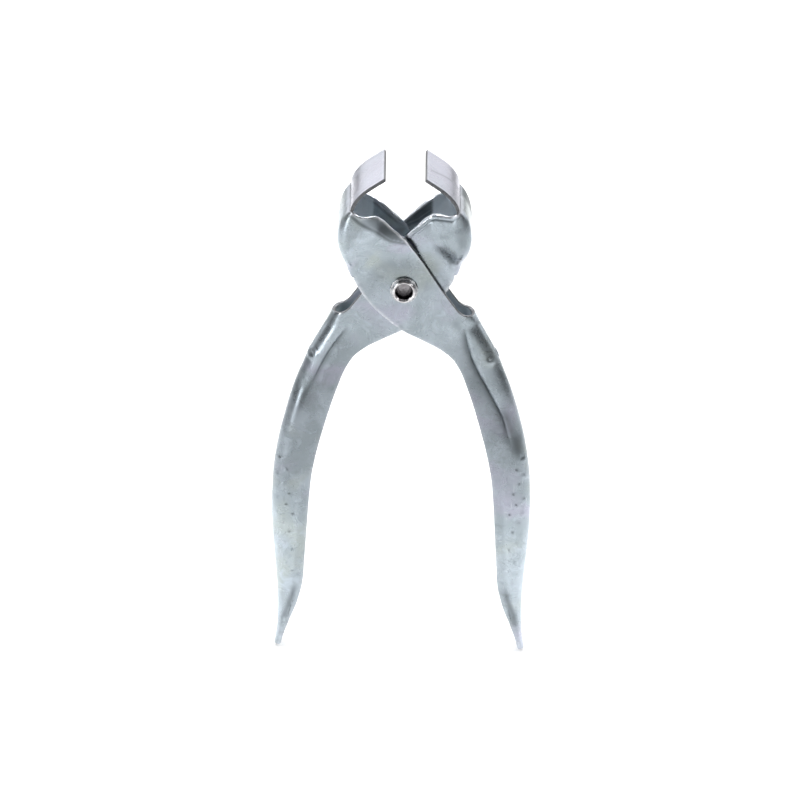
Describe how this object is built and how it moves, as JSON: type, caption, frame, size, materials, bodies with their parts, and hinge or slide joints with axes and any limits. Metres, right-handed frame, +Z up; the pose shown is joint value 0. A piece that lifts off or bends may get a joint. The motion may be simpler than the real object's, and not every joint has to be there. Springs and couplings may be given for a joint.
{
  "type": "hand seamer",
  "caption": "Stamped sheet-steel hand seamer: two crossing channel levers with wide inward-curving blade jaws, turning on a hollow rivet.",
  "frame": {"origin": "middle of the hollow rivet's axis, the point about which the levers turn", "axes": "+Z up the tool towards the jaws, +X to the right seen from the front, +Y along the rivet away from the front face"},
  "size_m": [0.102, 0.0286, 0.2082],
  "materials": {
    "zinc_sheet": "bright zinc plate, cool blue-grey, satin with soft mottling",
    "rivet_steel": "bright zinc plate, rolled lip",
    "washer_steel": "zinc plate"
  },
  "bodies": {
    "front_half": {"front_lever": "zinc_sheet", "pivot_rivet": "rivet_steel", "front_washer": "washer_steel", "rear_washer": "washer_steel"},
    "rear_half": {"rear_lever": "zinc_sheet"}
  },
  "joints": [
    {"name": "pivot", "type": "hinge", "parent": "front_half", "child": "rear_half", "pos_m": [0, 0, 0], "axis": [0, 1, 0], "range_deg": [-16.5, 15]}
  ]
}
